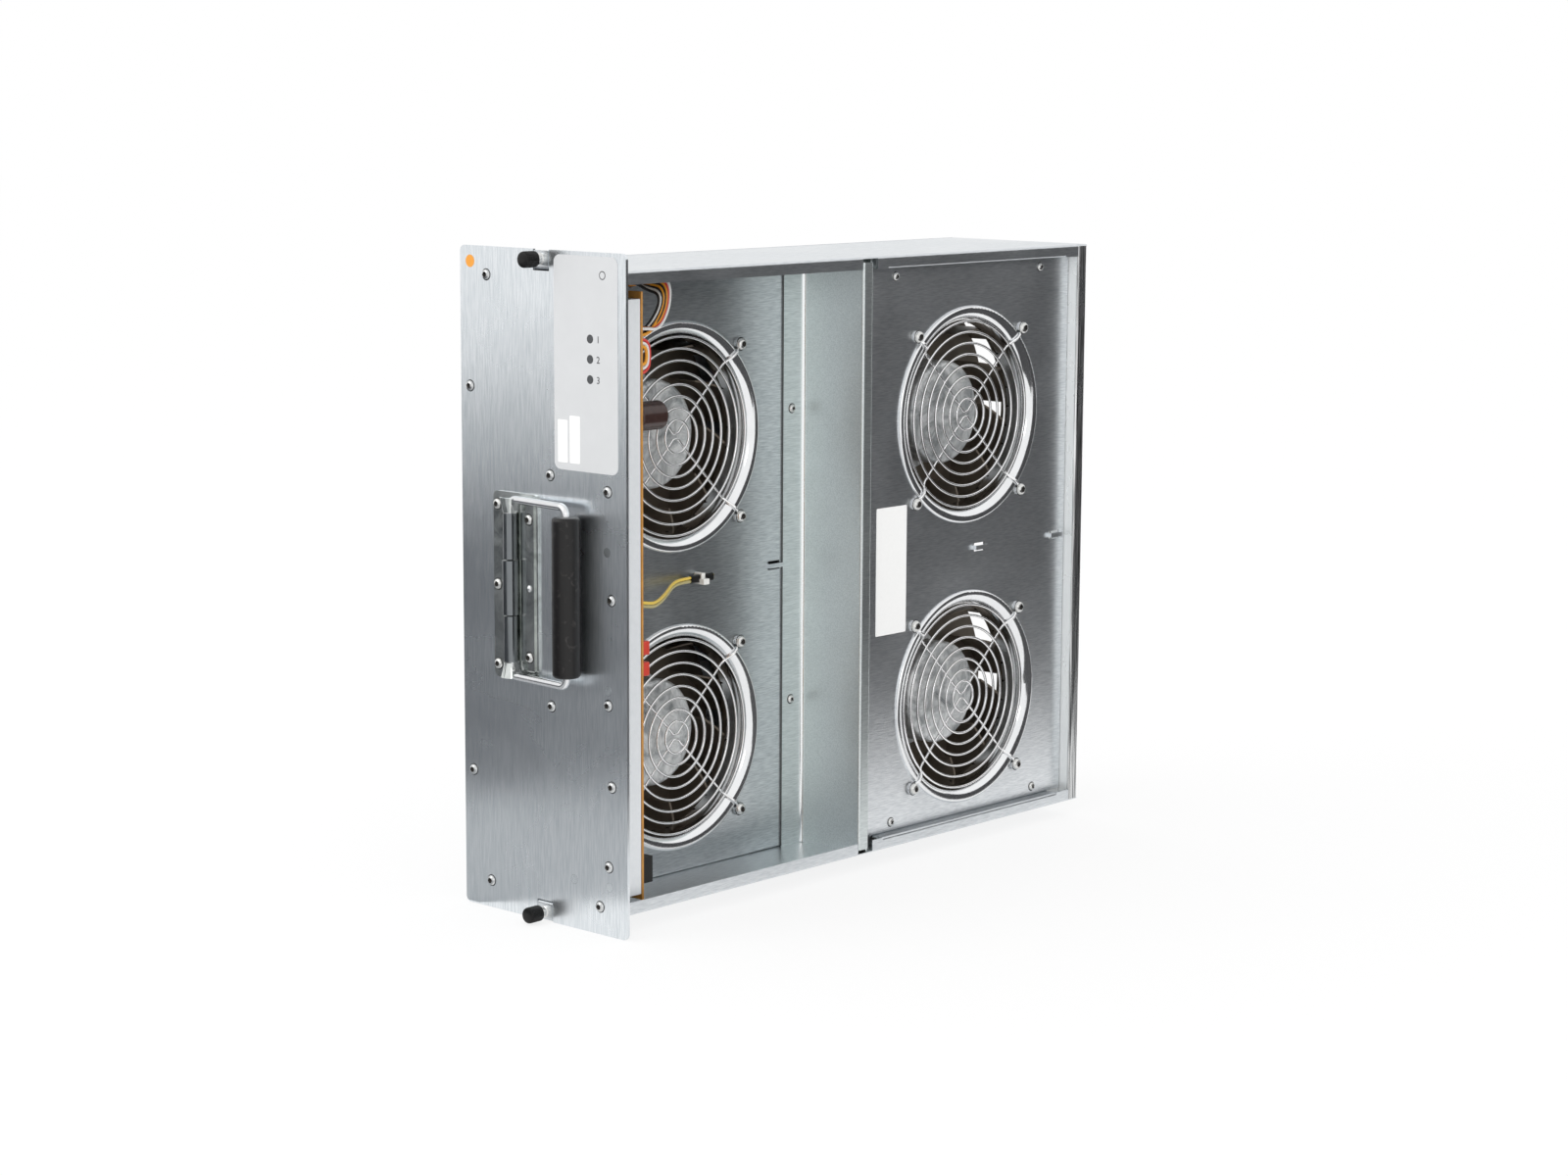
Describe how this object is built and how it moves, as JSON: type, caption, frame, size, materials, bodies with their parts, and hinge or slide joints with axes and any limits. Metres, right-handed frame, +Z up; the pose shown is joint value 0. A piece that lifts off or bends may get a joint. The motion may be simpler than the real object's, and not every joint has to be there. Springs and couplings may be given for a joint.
{
  "type": "fan_tray",
  "caption": "Upright rack fan tray: faceplate with folding handle and captive screws, guarded centrifugal fans in a zinc-plated sheet-metal body, open control bay with its board.",
  "frame": {"origin": "bottom centre of the bounding box of the whole tray with its handle folded", "axes": "+X out of the open side with the guarded inlets, +Y from the faceplate into the rack, +Z up"},
  "size_m": [0.15, 0.5019, 0.432],
  "materials": {
    "sheet_zinc": "satin zinc plating with a fine rolled grain",
    "bright_zinc": "bright plating",
    "screw_zinc": "zinc plated",
    "wheel_steel": "dark satin",
    "motor_aluminium": "cast, satin",
    "label_film": "satin film",
    "lamp_plastic": "smoked, clear",
    "board_laminate": "laminate",
    "capacitor_sleeve": "shrink sleeve",
    "film_red": "dipped",
    "black_plastic": "moulded",
    "wire_cover": "extruded",
    "tie_nylon": "moulded",
    "grip_rubber": "moulded, matt"
  },
  "bodies": {
    "tray": {"faceplate": "sheet_zinc", "top_rail": "sheet_zinc", "bottom_rail": "sheet_zinc", "back_panel": "sheet_zinc", "rear_post": "sheet_zinc", "divider": "sheet_zinc", "front_fan_panel": "sheet_zinc", "rear_fan_panel": "sheet_zinc", "motor_stand": "sheet_zinc", "board_bracket": "sheet_zinc", "connector_bracket": "sheet_zinc", "handle_doubler": "sheet_zinc", "front_upper_inlet_ring": "bright_zinc", "front_upper_finger_guard": "bright_zinc", "front_lower_inlet_ring": "bright_zinc", "front_lower_finger_guard": "bright_zinc", "rear_upper_inlet_ring": "bright_zinc", "rear_upper_finger_guard": "bright_zinc", "rear_lower_inlet_ring": "bright_zinc", "rear_lower_finger_guard": "bright_zinc", "handle_plate": "bright_zinc", "guard_screws": "screw_zinc", "motor_screws": "screw_zinc", "panel_screws": "screw_zinc", "faceplate_screws": "screw_zinc", "board_screws": "screw_zinc", "handle_screws": "screw_zinc", "captive_ferrules": "screw_zinc", "motor_bearings": "screw_zinc", "front_upper_stator": "motor_aluminium", "front_lower_stator": "motor_aluminium", "rear_upper_stator": "motor_aluminium", "rear_lower_stator": "motor_aluminium", "label_overlay": "label_film", "light_pipes": "lamp_plastic", "control_board": "board_laminate", "capacitor": "capacitor_sleeve", "film_capacitors": "film_red", "board_connectors": "black_plastic", "rear_connector": "black_plastic", "lead_sleeve": "black_plastic", "fan_harness": "wire_cover", "fan_lead": "wire_cover", "cable_tie": "tie_nylon"},
    "front_upper_wheel": {"front_upper_impeller": "wheel_steel", "front_upper_rotor": "motor_aluminium"},
    "front_lower_wheel": {"front_lower_impeller": "wheel_steel", "front_lower_rotor": "motor_aluminium"},
    "rear_upper_wheel": {"rear_upper_impeller": "wheel_steel", "rear_upper_rotor": "motor_aluminium"},
    "rear_lower_wheel": {"rear_lower_impeller": "wheel_steel", "rear_lower_rotor": "motor_aluminium"},
    "handle": {"handle_bail": "bright_zinc", "handle_grip": "grip_rubber"},
    "upper_captive_slider": {"upper_captive_washer": "screw_zinc"},
    "upper_captive_turner": {"upper_captive_screw": "screw_zinc", "upper_captive_knob": "black_plastic"},
    "lower_captive_slider": {"lower_captive_washer": "screw_zinc"},
    "lower_captive_turner": {"lower_captive_screw": "screw_zinc", "lower_captive_knob": "black_plastic"}
  },
  "joints": [
    {"name": "front_upper_spin", "type": "hinge", "parent": "tray", "child": "front_upper_wheel", "pos_m": [-0.0315, -0.11585, 0.3055], "axis": [1, 0, 0], "continuous": true},
    {"name": "front_lower_spin", "type": "hinge", "parent": "tray", "child": "front_lower_wheel", "pos_m": [-0.0315, -0.11585, 0.1045], "axis": [1, 0, 0], "continuous": true},
    {"name": "rear_upper_spin", "type": "hinge", "parent": "tray", "child": "rear_upper_wheel", "pos_m": [0.0145, 0.12865, 0.3055], "axis": [1, 0, 0], "continuous": true},
    {"name": "rear_lower_spin", "type": "hinge", "parent": "tray", "child": "rear_lower_wheel", "pos_m": [0.0145, 0.12865, 0.1045], "axis": [1, 0, 0], "continuous": true},
    {"name": "handle_fold", "type": "hinge", "parent": "tray", "child": "handle", "pos_m": [-0.0235, -0.23745, 0.216], "axis": [0, 0, -1], "range_deg": [0, 85]},
    {"name": "upper_captive_push", "type": "slide", "parent": "tray", "child": "upper_captive_slider", "axis": [0, 1, 0], "range_m": [0, 0.005], "stiffness_N_per_m": 300},
    {"name": "upper_captive_turn", "type": "hinge", "parent": "upper_captive_slider", "child": "upper_captive_turner", "pos_m": [0, -0.23605, 0.426], "axis": [0, 1, 0], "continuous": true},
    {"name": "lower_captive_push", "type": "slide", "parent": "tray", "child": "lower_captive_slider", "axis": [0, 1, 0], "range_m": [0, 0.005], "stiffness_N_per_m": 300},
    {"name": "lower_captive_turn", "type": "hinge", "parent": "lower_captive_slider", "child": "lower_captive_turner", "pos_m": [0, -0.23605, 0.006], "axis": [0, 1, 0], "continuous": true}
  ]
}
